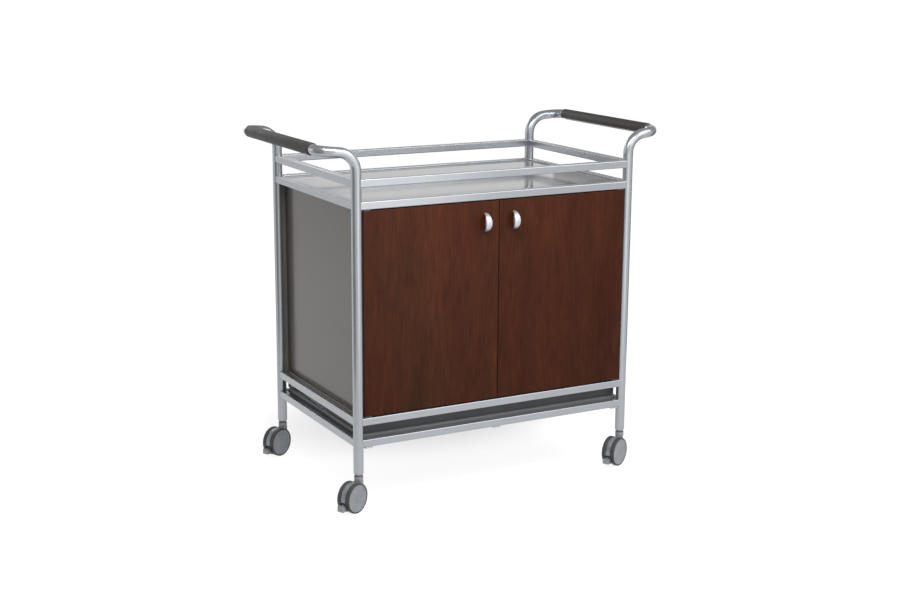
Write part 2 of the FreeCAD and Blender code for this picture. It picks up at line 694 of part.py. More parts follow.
def pull_screws(side):
    """Two screws from inside the door into the feet of the pull."""
    x = mirrored("pull_offset", side)
    screws = []
    for sign, end in (("+", "upper"), ("-", "lower")):
        z = f"pull_height {sign} foot_spread"
        tip = f"{DOOR_FRONT} - foot_length + bore_floor + tip_gap"
        head = rod(f"pull_head_{side}_{end}", "y", "head_radius", "head_height", x, DOOR_BACK, z)
        shank = rod(f"pull_shank_{side}_{end}", "y", "screw_radius - fit_gap", f"({DOOR_BACK}) - ({tip})",
                    x, tip, z)
        screws.append(fuse(f"pull_screw_{side}_{end}", [head, shank]))
    node(group(f"pull_screws_{side}", screws), f"pull_screws_{side}")


def catches():
    """Magnetic catches under the counter and a strike plate on each door."""
    housings = []
    for side in SIDES:
        x = span_x(side, "catch_offset - catch_width / 2", "catch_offset + catch_width / 2")
        face = f"{DOOR_BACK} + strike_thickness"
        y = (f"{face} + catch_gap", f"{face} + catch_gap + catch_depth")
        housings.append(block(f"catch_{side}", x, y, (f"{COUNTER_BOTTOM} - catch_height", COUNTER_BOTTOM)))
        strike = block(f"strike_plate_{side}", x, (DOOR_BACK, face),
                       (f"{DOOR_TOP} - leaf_margin - catch_height", f"{DOOR_TOP} - leaf_margin"))
        node(strike, f"strike_plate_{side}")
    node(group("magnetic_catches", housings), "magnetic_catches")


# --- casters ---------------------------------------------------------------------------------

def stems():
    """A nylon socket pressed into each leg and the flanged caster stem that it holds."""
    sockets, pins = [], []
    for row in FRONT_TO_BACK:
        for side in SIDES:
            x, y, corner = POST_X[side], POST_Y[row], f"{row}_{side}"
            plug = rod(f"socket_plug_{corner}", "z", "post_radius - post_wall - fit_gap",
                       "socket_top - post_bottom", x, y, "post_bottom")
            rim = cone(f"socket_rim_{corner}", "socket_rim", "socket_shoulder",
                       "post_bottom - socket_bottom", x, y, "socket_bottom")
            bore = rod(f"socket_bore_{corner}", "z", "stem_radius + fit_gap", "stem_top - socket_bottom",
                       x, y, "socket_bottom")
            sockets.append(cut(f"socket_{corner}", fuse(f"socket_solid_{corner}", [plug, rim]), [bore]))
            flange_bottom = "collar_top + collar_gap"
            flange = rod(f"stem_flange_{corner}", "z", "stem_flange", f"socket_bottom - ({flange_bottom})",
                         x, y, flange_bottom)
            pin = rod(f"stem_pin_{corner}", "z", "stem_radius", "stem_top - stem_bottom", x, y,
                      "stem_bottom")
            pins.append(fuse(f"stem_{corner}", [pin, flange]))
    node(group("stem_sockets", sockets), "stem_sockets")
    node(group("caster_stems", pins), "caster_stems")


def stand(thing, row, side, name):
    """Turn a caster piece built round the swivel axis and stand it under its post."""
    place(thing, POST_X[side], POST_Y[row], "0", turn="caster_yaw")
    node(thing, name)


def tilted_arm(name, half_thickness, play, drop):
    """The lever's arm, or its slot, pointing back and down from the axle."""
    bar = block(f"{name}_bar", ("-lever_reach", "0"), (f"-({half_thickness})", half_thickness),
                (f"-lever_arm / 2 - ({play})", f"lever_arm / 2 + {play}"))
    arm = group(name, [bar])
    arm.Placement.Rotation = FreeCAD.Rotation(V(0, -1, 0), 1)
    bind(arm, "Placement.Rotation.Angle", drop)
    for letter, formula in (("x", "-caster_trail"), ("z", "wheel_radius")):
        bind(arm, f"Placement.Base.{letter}", formula)
    return arm


def axle_rod(name, radius, half):
    """A round piece centred on the caster's axle."""
    return rod(name, "y", radius, f"2 * ({half})", "-caster_trail", f"-({half})", "wheel_radius")


def housing(row, side):
    """Hood between the wheels, axle boss, neck and swivel collar."""
    name = f"{row}_{side}_caster_housing"
    width = ("-hood_half", "hood_half")
    disc = axle_rod(f"{name}_disc", "hood_radius", "hood_half")
    above = block(f"{name}_above", ("-caster_trail - hood_radius", "hood_radius - caster_trail"),
                  width, ("hood_bottom", "wheel_radius + hood_radius"))
    hood = common(f"{name}_hood", [disc, above])
    boss = axle_rod(f"{name}_boss", "boss_radius", "hood_half")
    neck = block(f"{name}_neck", ("-collar_radius", "collar_radius"), width,
                 ("neck_bottom", "collar_bottom"))
    collar = rod(f"{name}_collar", "z", "collar_radius", "collar_top - collar_bottom", z="collar_bottom")
    solid = fuse(f"{name}_solid", [hood, boss, neck, collar])
    stem_bore = rod(f"{name}_stem_bore", "z", "stem_radius + fit_gap", "collar_top - stem_bottom + fit_gap",
                    z="stem_bottom - fit_gap")
    axle_bore = axle_rod(f"{name}_axle_bore", "axle_radius", "hood_half")
    slot_half = "lever_half + lever_gap"
    slots = [axle_rod(f"{name}_hub_slot", "lever_hub + lever_gap", slot_half),
             tilted_arm(f"{name}_rest_slot", slot_half, "lever_gap", "lever_drop"),
             tilted_arm(f"{name}_travel_slot", slot_half, "lever_gap", "lever_drop + lever_travel")]
    stand(cut(name, solid, [stem_bore, axle_bore] + slots), row, side, name)


def axle(row, side):
    """The steel axle through the boss, held by its fit."""
    name = f"{row}_{side}_axle"
    stand(group(name, [axle_rod(f"{name}_bar", "axle_radius", "axle_half")]), row, side, name)


def brake_lever(row, side):
    """A lever on the axle, with a pedal behind the wheels."""
    name = f"{row}_{side}_brake_lever"
    hub = axle_rod(f"{name}_hub", "lever_hub", "lever_half")
    arm = tilted_arm(f"{name}_arm", "lever_half", "0", "lever_drop")
    slab = block(f"{name}_slab", ("-caster_trail - pedal_reach", "-caster_trail - pedal_inner"),
                 ("-pedal_half", "pedal_half"), ("pedal_bottom", "pedal_top"))
    rounded = doc.addObject("Part::Fillet", f"{name}_rounded")
    rounded.Base = slab
    radius = number("pedal_round")
    rounded.Edges = [(edge, radius, radius) for edge in range(1, BOX_EDGES + 1)]
    pedal = cut(f"{name}_pedal", rounded, [axle_rod(f"{name}_hollow", "pedal_clear", "pedal_half")])
    bore = axle_rod(f"{name}_bore", "axle_radius + fit_gap", "lever_half")
    stand(cut(name, fuse(f"{name}_solid", [hub, arm, pedal]), [bore]), row, side, name)


def wheel(row, side, place_name, lateral, turn):
    """Tread and hub in one, turned about the axle, with a blind bore on its inner face."""
    name = f"{row}_{side}_{place_name}_wheel"
    x = f"{POST_X[side]} - caster_trail * cos(caster_yaw) {lateral[0]} wheel_spread * sin(caster_yaw)"
    y = f"{POST_Y[row]} - caster_trail * sin(caster_yaw) {lateral[1]} wheel_spread * cos(caster_yaw)"
    body = new_body(name, x, y, "wheel_radius", turn=turn)
    profile = new_sketch(body, "YZ_Plane")
    bore = "axle_radius + fit_gap"
    hub_face = "wheel_width - hub_recess"
    outline(profile, [("0", bore), ("0", "wheel_radius"), ("wheel_width", "wheel_radius"),
                      ("wheel_width", "hub_radius"), (hub_face, "hub_radius"), (hub_face, "0"),
                      ("bore_depth", "0"), ("bore_depth", bore)])
    turned = body.newObject("PartDesign::Revolution", f"{name}_turned")
    turned.Profile = profile
    turned.ReferenceAxis = (profile, ["H_Axis"])
    doc.recompute()
    rims = [f"Edge{index}" for index, edge in enumerate(turned.Shape.Edges, start=1)
            if edge.Closed and abs(edge.BoundBox.ZLength / 2 - number("wheel_radius")) < SAME]
    shoulder = body.newObject("PartDesign::Fillet", f"{name}_shoulder")
    shoulder.Base = (turned, rims)
    bind(shoulder, "Radius", "wheel_shoulder")
    doc.recompute()
    node(body, name)


def caster(row, side):
    """One twin-wheel swivel caster, without its stem."""
    housing(row, side)
    axle(row, side)
    wheel(row, side, "near", "+-", "caster_yaw + 180")
    wheel(row, side, "far", "-+", "caster_yaw")
    brake_lever(row, side)


# --- build, check and write ------------------------------------------------------------------

def build():
    fill_sheet()
    for side in SIDES:
        end_frame(side)
        grip(side)
    rails()
    base_board(mounting_tabs())
    plinth()
    rear_panel()
    carcass()
    counter()
    hinge_plates()
    catches()
    stems()
    for side in SIDES:
        side_panel(side)
        door(side)
        door_leaves(side)
        pull(side)
        pull_screws(side)
    for row in FRONT_TO_BACK:
        for side in SIDES:
            caster(row, side)
    doc.recompute()


def check():
    """Stop on a failed object or a sub-part without a sound shape."""
    for thing in doc.Objects:
        if "Invalid" in thing.State or "Error" in thing.State:
            raise RuntimeError(f"{thing.Label} failed: {thing.State}")
    for thing in nodes:
        if thing.Shape.isNull() or not thing.Shape.isValid() or not thing.Shape.Solids:
            raise RuntimeError(f"{thing.Label} has no sound solid")


def write():
    os.makedirs("parts", exist_ok=True)
    for thing in nodes:
        thing.Shape.exportStep(f"parts/{thing.Label}.step")
    print(len(nodes), "sub-parts written")


build()
check()
write()
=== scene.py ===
"""Microwave cart: finishes, refined pieces, studio floor, lamps, cards and camera.

Lengths are metres unless a name or a comment says millimetres. Colours are linear RGB.
"""
import json
import math

import bmesh
import bpy
from mathutils import Matrix, Vector

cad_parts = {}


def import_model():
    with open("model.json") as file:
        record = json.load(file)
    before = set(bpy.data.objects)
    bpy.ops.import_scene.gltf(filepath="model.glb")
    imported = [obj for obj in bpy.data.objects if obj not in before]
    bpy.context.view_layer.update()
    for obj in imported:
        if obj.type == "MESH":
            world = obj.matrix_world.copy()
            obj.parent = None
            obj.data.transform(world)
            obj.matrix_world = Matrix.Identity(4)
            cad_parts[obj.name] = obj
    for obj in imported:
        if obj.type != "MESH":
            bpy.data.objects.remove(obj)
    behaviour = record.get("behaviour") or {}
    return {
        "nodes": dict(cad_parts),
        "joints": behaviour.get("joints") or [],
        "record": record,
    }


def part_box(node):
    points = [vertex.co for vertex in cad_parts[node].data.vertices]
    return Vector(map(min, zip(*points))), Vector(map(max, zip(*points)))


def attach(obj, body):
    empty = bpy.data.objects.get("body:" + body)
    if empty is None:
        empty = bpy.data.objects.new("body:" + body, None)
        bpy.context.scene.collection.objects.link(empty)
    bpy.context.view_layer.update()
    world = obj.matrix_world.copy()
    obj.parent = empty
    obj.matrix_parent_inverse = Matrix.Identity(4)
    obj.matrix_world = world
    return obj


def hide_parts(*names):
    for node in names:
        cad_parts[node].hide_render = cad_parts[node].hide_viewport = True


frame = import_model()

scene = bpy.context.scene
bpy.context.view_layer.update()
record = frame["record"]
SLOT_OF = {entry["node"]: entry["material_slot"] for entry in record["subparts"]}
BODY_OF = {node: body for body, nodes in record["behaviour"]["bodies"].items() for node in nodes}
JOINT = {joint["name"]: joint for joint in frame["joints"]}
CORNERS = [f"{row}_{side}" for row in ("front", "back") for side in ("left", "right")]
MM = 0.001
MIX_FACTOR, MIX_FIRST, MIX_SECOND, MIX_RESULT = 0, 6, 7, 2  # colour sockets of a Mix node


# --- node helpers ----------------------------------------------------------------------------

def material(name, base, roughness, metallic=0.0, specular=0.5):
    """A Principled material with its even values on the shader itself."""
    made = bpy.data.materials.new(name)
    made.use_nodes = True
    shader = made.node_tree.nodes["Principled BSDF"]
    shader.inputs["Base Color"].default_value = (*base, 1)
    shader.inputs["Roughness"].default_value = roughness
    shader.inputs["Metallic"].default_value = metallic
    shader.inputs["Specular IOR Level"].default_value = specular
    return made


class Graph:
    """Short calls for the nodes of one material."""

    def __init__(self, made):
        self.tree = made.node_tree
        self.shader = self.tree.nodes["Principled BSDF"]

    def node(self, kind, inputs=(), **settings):
        """A node with its inputs linked or set, by name or by number."""
        made = self.tree.nodes.new(kind)
        for key, value in settings.items():
            setattr(made, key, value)
        for key, value in dict(inputs).items():
            if isinstance(value, bpy.types.NodeSocket):
                self.tree.links.new(value, made.inputs[key])
            else:
                made.inputs[key].default_value = value
        return made

    def place(self, scale=(1, 1, 1)):
        """Object coordinates, in metres, scaled along each axis."""
        coordinates = self.node("ShaderNodeTexCoord").outputs["Object"]
        mapping = self.node("ShaderNodeMapping", {"Vector": coordinates, "Scale": scale})
        return mapping.outputs["Vector"]

    def noise(self, vector, scale, detail=2.0, roughness=0.5, distortion=0.0):
        made = self.node("ShaderNodeTexNoise", {
            "Vector": vector, "Scale": scale, "Detail": detail, "Roughness": roughness,
            "Distortion": distortion})
        return made.outputs["Fac"]

    def ramp(self, factor, stops):
        """Colours, or greys, at positions along a factor."""
        made = self.node("ShaderNodeValToRGB", {"Fac": factor})
        elements = made.color_ramp.elements
        while len(elements) < len(stops):
            elements.new(0.5)
        for element, (position, colour) in zip(elements, stops):
            tone = colour if isinstance(colour, tuple) else (colour, colour, colour)
            element.position = position
            element.color = (*tone, 1)
        return made.outputs["Color"]

    def mix(self, factor, first, second, blend="MIX"):
        made = self.node("ShaderNodeMix", data_type="RGBA", blend_type=blend)
        for index, value in ((MIX_FACTOR, factor), (MIX_FIRST, first), (MIX_SECOND, second)):
            socket = made.inputs[index]
            if isinstance(value, bpy.types.NodeSocket):
                self.tree.links.new(value, socket)
            else:
                socket.default_value = (*value, 1) if isinstance(value, tuple) else value
        return made.outputs[MIX_RESULT]

    def soft(self, factor, dark, light):
        """A soft mottle between two colours."""
        return self.mix(self.ramp(factor, [(0.3, 0.0), (0.7, 1.0)]), dark, light)

    def range(self, value, low, high):
        """A factor from 0 to 1 spread between low and high."""
        made = self.node("ShaderNodeMapRange", {"Value": value, "To Min": low, "To Max": high})
        return made.outputs["Result"]

    def drive(self, name, value):
        """Links a value to one of the shader's sockets."""
        self.tree.links.new(value, self.shader.inputs[name])

    def bump(self, height, strength, distance):
        made = self.node("ShaderNodeBump", {
            "Height": height, "Strength": strength, "Distance": distance})
        self.drive("Normal", made.outputs["Normal"])


# --- materials -------------------------------------------------------------------------------

def silver_coat():
    """Silver metallic powder coat: fine flake and a softly uneven gloss."""
    made = material("silver_coat", (0.350, 0.368, 0.388), 0.26, metallic=0.8)
    g = Graph(made)
    flake = g.noise(g.place(), 2600, detail=1)
    cloud = g.noise(g.place(), 14, detail=3)
    tone = g.soft(flake, (0.335, 0.353, 0.373), (0.365, 0.383, 0.403))
    mottle = g.soft(cloud, (0.33, 0.348, 0.368), (0.37, 0.388, 0.408))
    g.drive("Base Color", g.mix(0.4, tone, mottle))
    g.drive("Roughness", g.range(cloud, 0.23, 0.29))
    return made


def veneer():
    """Dark cherry veneer under a satin lacquer: a sheet to each door, its grain running upward, and
    painted shade makes the right door's sheet darker.

    Each layer's scale is in waves per metre: across the door, into it and up it.
    """
    redder = (0.070, 0.0182, 0.0080)
    even = (0.064, 0.0186, 0.0078)
    browner = (0.057, 0.0194, 0.0078)
    made = material("veneer", even, 0.36, specular=0.08)
    g = Graph(made)
    across = g.node("ShaderNodeSeparateXYZ", {0: g.place()}).outputs["X"]
    is_right = g.node("ShaderNodeMath", {0: across, 1: 0.0}, operation="GREATER_THAN")
    on_right = is_right.outputs["Value"]

    def grain(scale, detail, roughness=0.5, distortion=0.0):
        """Noise drawn out up the doors, with another stretch of it on the right one."""
        inputs = {0: g.place(scale=scale), 1: on_right}
        shift = g.node("ShaderNodeVectorMath", inputs, operation="ADD")
        return g.noise(shift.outputs["Vector"], 1.0, detail, roughness, distortion)

    tint = g.ramp(grain((3.4, 3.4, 1.5), 2), [(0.34, redder), (0.5, even), (0.66, browner)])
    figure = g.ramp(grain((15, 15, 3.0), 4, distortion=0.7), [(0.32, 0.80), (0.68, 1.15)])
    fleck = g.ramp(grain((75, 75, 18), 3, distortion=0.5), [(0.32, 0.90), (0.68, 1.09)])
    streak = grain((230, 230, 11), 4, roughness=0.62, distortion=0.3)
    pores = g.ramp(grain((1050, 1050, 45), 2), [(0.32, 0.74), (0.46, 1.0)])
    lines = g.ramp(streak, [(0.32, 0.78), (0.5, 1.0), (0.68, 1.20)])
    # painted shade: the right door's sheet is a little darker and browner, standing in for the
    # light falling off towards the right
    right_painted_shade = g.mix(1.0, tint, (0.91, 0.89, 0.87), "MULTIPLY")
    colour = g.mix(on_right, tint, right_painted_shade)
    for layer in (figure, fleck, lines, pores):
        colour = g.mix(1.0, colour, layer, "MULTIPLY")
    g.drive("Base Color", colour)
    g.drive("Roughness", g.range(streak, 0.32, 0.42))
    g.bump(pores, 0.05, 0.0003)
    return made


def laminate(name, dark, light, roughness, specular=0.25):
    """Board faced with laminate: a soft mottle and a faint hammered surface."""
    made = material(name, light, roughness, specular=specular)
    g = Graph(made)
    cloud = g.noise(g.place(), 9, detail=4)
    speck = g.noise(g.place(), 1500, detail=1)
    mottle = g.soft(cloud, dark, light)
    g.drive("Base Color", g.mix(0.12, mottle, g.ramp(speck, [(0.4, dark), (0.6, light)])))
    g.drive("Roughness", g.range(cloud, roughness - 0.04, roughness + 0.05))
    g.bump(speck, 0.06, 0.0003)
    return made


def counter_gloss():
    """High-gloss light warm grey, with a barely uneven polish."""
    made = material("counter_gloss", (0.180, 0.177, 0.172), 0.07)
    g = Graph(made)
    cloud = g.noise(g.place(), 5, detail=4)
    speck = g.noise(g.place(), 800, detail=2)
    mottle = g.soft(cloud, (0.162, 0.159, 0.154), (0.188, 0.185, 0.180))
    specks = g.ramp(speck, [(0.4, (0.145, 0.142, 0.138)), (0.6, (0.21, 0.207, 0.202))])
    g.drive("Base Color", g.mix(0.10, mottle, specks))
    g.drive("Roughness", g.range(cloud, 0.06, 0.10))
    return made


def soft_grip():
    """Dark brown-black foam sleeve with a fine skin."""
    made = material("soft_grip", (0.026, 0.0235, 0.0215), 0.60)
    g = Graph(made)
    cloud = g.noise(g.place(), 25, detail=3)
    g.drive("Base Color", g.soft(cloud, (0.021, 0.019, 0.0175), (0.031, 0.028, 0.0255)))
    g.drive("Roughness", g.range(cloud, 0.55, 0.70))
    g.bump(g.noise(g.place(), 950, detail=3), 0.35, 0.0006)
    return made


def scaled(colour, factor):
    return tuple(factor * part for part in colour)


def moulded(name, colour, roughness, metallic=0.0, fine=0.15):
    """Moulded nylon or rubber with a faint spark texture."""
    made = material(name, colour, roughness, metallic)
    g = Graph(made)
    cloud = g.noise(g.place(), 60, detail=3)
    g.drive("Base Color", g.soft(cloud, scaled(colour, 0.86), scaled(colour, 1.1)))
    g.drive("Roughness", g.range(cloud, roughness - 0.05, roughness + 0.06))
    g.bump(g.noise(g.place(), 2200, detail=2), fine, 0.0002)
    return made


def plated(name, colour, roughness, streaks, metallic=1.0):
    """Plated or brushed steel; streaks is the scale of its fine lines along each axis."""
    made = material(name, colour, roughness, metallic=metallic)
    g = Graph(made)
    line = g.noise(g.place(scale=streaks), 6, detail=4)
    cloud = g.noise(g.place(), 40, detail=3)
    g.drive("Base Color", g.soft(line, scaled(colour, 0.84), scaled(colour, 1.08)))
    g.drive("Roughness", g.range(cloud, roughness - 0.05, roughness + 0.08))
    g.bump(line, 0.05, 0.0002)
    return made


FINISH = {
    "silver_tube": silver_coat(),
    "grip": soft_grip(),
    "counter": counter_gloss(),
    "taupe_panel": laminate("taupe_panel", (0.056, 0.045, 0.037), (0.066, 0.055, 0.046), 0.17,
                            specular=0.56),
    "carcass_board": laminate("carcass_board", (0.42, 0.39, 0.35), (0.50, 0.465, 0.42), 0.45),
    "rear_board": laminate("rear_board", (0.165, 0.152, 0.142), (0.195, 0.180, 0.168), 0.52),
    "plinth": laminate("plinth", (0.085, 0.088, 0.095), (0.105, 0.108, 0.115), 0.45),
    "base_board": laminate("base_board", (0.19, 0.19, 0.20), (0.23, 0.23, 0.24), 0.36),
    "veneer": veneer(),
    "satin_nickel": plated("satin_nickel", (0.53, 0.55, 0.57), 0.42, (700, 700, 90), metallic=0.8),
    "steel": plated("steel", (0.52, 0.53, 0.54), 0.30, (180, 180, 30)),
    "dark_steel": plated("dark_steel", (0.10, 0.095, 0.09), 0.38, (180, 180, 180)),
    "tab_steel": plated("tab_steel", (0.50, 0.51, 0.53), 0.42, (120, 120, 120)),
    "pale_plastic": moulded("pale_plastic", (0.62, 0.60, 0.56), 0.5),
    "caster_wheel": moulded("caster_tread", (0.055, 0.055, 0.057), 0.55, fine=0.3),
    "caster_plastic": moulded("caster_plastic", (0.286, 0.304, 0.324), 0.34, metallic=0.35),
}

for node, thing in frame["nodes"].items():
    thing.data.materials.clear()
    thing.data.materials.append(FINISH[SLOT_OF[node]])


# --- mesh helpers ----------------------------------------------------------------------------

def add_piece(name, mesh, node, slot=None, replace=True):
    """A new piece that rides where its node rides and, as a rule, takes the node's place."""
    slot = slot or SLOT_OF[node]
    mesh.materials.clear()
    mesh.materials.append(FINISH[slot])
    made = bpy.data.objects.new(name, mesh)
    scene.collection.objects.link(made)
    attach(made, BODY_OF[node])
    if replace:
        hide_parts(node)
    return made


def finished(bm, name, sharp=35):
    """The mesh of a bmesh: outward faces, smooth but for edges sharper than an angle."""
    bmesh.ops.recalc_face_normals(bm, faces=bm.faces)
    mesh = bpy.data.meshes.new(name)
    bm.to_mesh(mesh)
    bm.free()
    mesh.shade_smooth()
    mesh.set_sharp_from_angle(angle=math.radians(sharp))
    return mesh


def arc(centre, radius, start, end, steps):
    """Points of a circular arc in a profile, angles in degrees."""
    turns = [math.radians(start + (end - start) * step / steps) for step in range(steps + 1)]
    return [(centre[0] + radius * math.cos(turn), centre[1] + radius * math.sin(turn))
            for turn in turns]


def bridge(bm, first, second):
    """Faces between two rings of vertices; a ring of one vertex is a point."""
    count = max(len(first), len(second))
    if count == 1:
        return
    for index in range(count):
        after = (index + 1) % count
        corners = [first[index % len(first)], first[after % len(first)],
                   second[after % len(second)], second[index % len(second)]]
        bm.faces.new(list(dict.fromkeys(corners)))


def lathe(name, profile, centre, axis, segments=96, closed=False):
    """A solid turned about an axis; the profile's pairs are distance along it and radius, in mm."""
    axis = Vector(axis).normalized()
    across = axis.orthogonal().normalized()
    beside = axis.cross(across)
    turns = [2 * math.pi * step / segments for step in range(segments)]
    outward = [across * math.cos(turn) + beside * math.sin(turn) for turn in turns]
    bm = bmesh.new()
    rings = []
    for along, radius in profile:
        middle = Vector(centre) + axis * along * MM
        if radius == 0:
            rings.append([bm.verts.new(middle)])
            continue
        rings.append([bm.verts.new(middle + direction * radius * MM) for direction in outward])
    for first, second in zip(rings, rings[1:]):
        bridge(bm, first, second)
    if closed:
        bridge(bm, rings[-1], rings[0])
    return finished(bm, name)


def refined(node, width, segments=2):
    """A node's own form with its sharp edges rounded over a width in mm, in the node's place."""
    same_point, flat, sharp = 0.005 * MM, math.radians(0.4), math.radians(40)
    bm = bmesh.new()
    bm.from_mesh(frame["nodes"][node].data)
    bmesh.ops.remove_doubles(bm, verts=bm.verts, dist=same_point)
    bmesh.ops.dissolve_limit(bm, angle_limit=flat, verts=bm.verts, edges=bm.edges)
    edges = [edge for edge in bm.edges if edge.is_manifold and edge.calc_face_angle() > sharp]
    bmesh.ops.bevel(bm, geom=edges, offset=width * MM, segments=segments, profile=0.5,
                    affect="EDGES", clamp_overlap=True)
    return add_piece(f"{node}_form", finished(bm, f"{node}_form"), node)


# --- casters ---------------------------------------------------------------------------------

def wheel(corner, side, outward_sign):
    """A dark tread round a silver hub disc with a raised rim, a shallow dish and a small boss.

    Both profiles run along the axle, in mm from the wheel's inner face, with the radius second.
    """
    node = f"{corner}_{side}_wheel"
    joint = JOINT[f"{corner}_{side}_spin"]
    outward = Vector(joint["axis"]) * outward_sign
    axle = Vector(joint["pos_m"])
    reach = [(vertex.co - axle).dot(outward) for vertex in frame["nodes"][node].data.vertices]
    inner = axle + outward * min(reach)
    width = (max(reach) - min(reach)) / MM
    low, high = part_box(node)
    radius = (high[2] - low[2]) / 2 / MM
    shoulder, crown, rim, bore = 2.2, 300, 33.9, 4.3  # the crown is the tread's slight bulge
    tread = ([(0, rim - 1)] + arc((shoulder, radius - shoulder), shoulder, 180, 90, 6)
             + arc((width / 2, radius - crown), crown, 90.75, 89.25, 6)
             + arc((width - shoulder, radius - shoulder), shoulder, 90, 0, 6)
             + [(width - 0.1, rim + 0.9), (width - 0.9, rim + 0.35), (width - 1.6, rim + 0.3),
                (width - 1.6, rim - 1)])
    name = f"{corner}_{side}_tread"
    add_piece(name, lathe(name, tread, inner, outward, closed=True), node)
    face = width - 0.55
    back = [(0.6, bore), (0.6, rim - 2), (1.4, rim - 0.6)]
    raised_rim = [(face - 1.2, rim), (face - 0.35, rim - 0.1), (face, rim - 0.7),
                  (face, rim - 1.6), (face - 0.4, rim - 2.4), (face - 0.75, rim - 4)]
    dish = [(face - 1.15, rim - 12), (face - 1.3, 14), (face - 1.3, 8.6)]
    boss = [(face - 1.1, 7.6), (face - 0.55, 6.9), (face - 0.4, 5.5), (face - 0.35, 0)]
    name = f"{corner}_{side}_hub"
    disc = lathe(name, back + raised_rim + dish + boss, inner, outward)
    add_piece(name, disc, node, slot="caster_plastic", replace=False)


for corner in CORNERS:
    wheel(corner, "near", -1)
    wheel(corner, "far", 1)
    refined(f"{corner}_caster_housing", 0.9, segments=3)
    refined(f"{corner}_brake_lever", 0.4)

EDGE_WIDTHS = (  # mm
    ("mounting_tabs", 0.5), ("magnetic_catches", 0.8), ("shelf", 0.5), ("hinge_plates", 0.3),
    ("hinge_leaves_left", 0.3), ("hinge_leaves_right", 0.3), ("strike_plate_left", 0.3),
    ("strike_plate_right", 0.3), ("plinth_long_boards", 0.4), ("plinth_short_boards", 0.4),
)
for node, width in EDGE_WIDTHS:
    refined(node, width)


# --- pulls -----------------------------------------------------------------------------------

def pull(side):
    """A crescent bow with a crowned front, thickest and widest at its middle, on two feet."""
    node = f"pull_{side}"
    low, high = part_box(node)
    middle = (Vector(low) + Vector(high)) / 2
    half_width = (high[0] - low[0]) / 2
    outer = (high[2] - low[2]) / 2
    door_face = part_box(f"door_{side}")[0][1]
    thickness, tip_thickness, tip_half_width = 11.6 * MM, 3.6 * MM, 3.4 * MM
    start, end, steps = 3, 177, 40  # the bow's ends, in degrees from straight down
    crown, crown_steps = 0.16, 12  # the crowned share of the thickness
    arch = [math.radians(-90 + 180 * step / crown_steps) for step in range(crown_steps + 1)]
    bm = bmesh.new()
    rings = []
    for step in range(steps + 1):
        turn = math.radians(start + (end - start) * step / steps)
        swell = math.sin(turn)
        wide = tip_half_width + (half_width - tip_half_width) * swell ** 1.5
        deep = tip_thickness + (thickness - tip_thickness) * swell ** 1.3
        out = Vector((0, -math.sin(turn), -math.cos(turn)))
        section = [(wide * math.sin(angle), (1 - crown) * deep + crown * deep * math.cos(angle))
                   for angle in arch]
        section += [(0.93 * wide, 0.06 * deep), (0.80 * wide, 0),
                    (-0.80 * wide, 0), (-0.93 * wide, 0.06 * deep)]
        base = Vector((middle.x, door_face, middle.z)) + out * (outer - deep)
        rings.append([bm.verts.new(base + Vector((x, 0, 0)) + out * rise) for x, rise in section])
    for first, second in zip(rings, rings[1:]):
        bridge(bm, first, second)
    bm.faces.new(rings[0])
    bm.faces.new(rings[-1])
    add_piece(f"{node}_bow", finished(bm, f"{node}_bow", sharp=50), node)


for side in ("left", "right"):
    pull(side)
    refined(f"grip_{side}", 0.8, segments=3)


# --- studio ----------------------------------------------------------------------------------

HORIZON, CEILING = 1.0, 0.36  # what the room shows level with the cart and overhead
CEILING_START, CEILING_END = 0.19, 0.32  # sines of the heights between which it turns dimmer
AMBIENT = 0.40  # what the room lights a matt surface with
# painted shadow: the floor's glow is lower in an ellipse behind the cart, as a shadow cast
# backwards
GLOW_IN_PAINTED_SHADOW, GLOW_FAR = 0.62, 0.88  # what the floor shows in its painted shadow behind the cart, and elsewhere
PAINTED_SHADOW_NEAR, PAINTED_SHADOW_FAR = 0.20, 0.56  # scaled distances over which the painted shadow fades out
PAINTED_SHADOW_SCALE, PAINTED_SHADOW_SHIFT = (0.9, 1.3, 1), (-0.09, -0.53, 0)  # the painted shadow's ellipse behind the cart
FLOOR_HALF = 30.0


def seen(tree):
    """1 for the eye, for reflections and through glass, and 0 for light that a surface scatters."""
    path = tree.nodes.new("ShaderNodeLightPath")
    found = path.outputs["Is Camera Ray"]
    for name in ("Is Glossy Ray", "Is Transmission Ray"):
        either = tree.nodes.new("ShaderNodeMath")
        either.operation = "MAXIMUM"
        tree.links.new(found, either.inputs[0])
        tree.links.new(path.outputs[name], either.inputs[1])
        found = either.outputs[0]
    return found


def world():
    """A pale room: white to the eye, dimmer overhead in reflections, and an even dim light."""
    made = bpy.data.worlds.new("room")
    made.use_nodes = True
    tree = made.node_tree
    background = tree.nodes["Background"]
    direction = tree.nodes.new("ShaderNodeTexCoord").outputs["Generated"]
    height = tree.nodes.new("ShaderNodeSeparateXYZ")
    tree.links.new(direction, height.inputs[0])
    ramp = tree.nodes.new("ShaderNodeValToRGB")
    ramp.color_ramp.interpolation = "EASE"
    stops = ((CEILING_START, HORIZON), (CEILING_END, CEILING))
    for element, (position, light) in zip(ramp.color_ramp.elements, stops):
        element.position = position
        element.color = (light, light, light, 1)
    to_eye = tree.nodes.new("ShaderNodeLightPath").outputs["Is Camera Ray"]
    mirrored_height = tree.nodes.new("ShaderNodeMath")  # below the horizon for the eye
    mirrored_height.operation = "SUBTRACT"
    tree.links.new(height.outputs["Z"], mirrored_height.inputs[0])
    tree.links.new(to_eye, mirrored_height.inputs[1])
    tree.links.new(mirrored_height.outputs[0], ramp.inputs["Fac"])
    choice = tree.nodes.new("ShaderNodeMix")
    choice.data_type = "RGBA"
    choice.inputs[MIX_FIRST].default_value = (AMBIENT, AMBIENT, AMBIENT, 1)
    tree.links.new(seen(tree), choice.inputs[MIX_FACTOR])
    tree.links.new(ramp.outputs["Color"], choice.inputs[MIX_SECOND])
    tree.links.new(choice.outputs[MIX_RESULT], background.inputs["Color"])
    scene.world = made


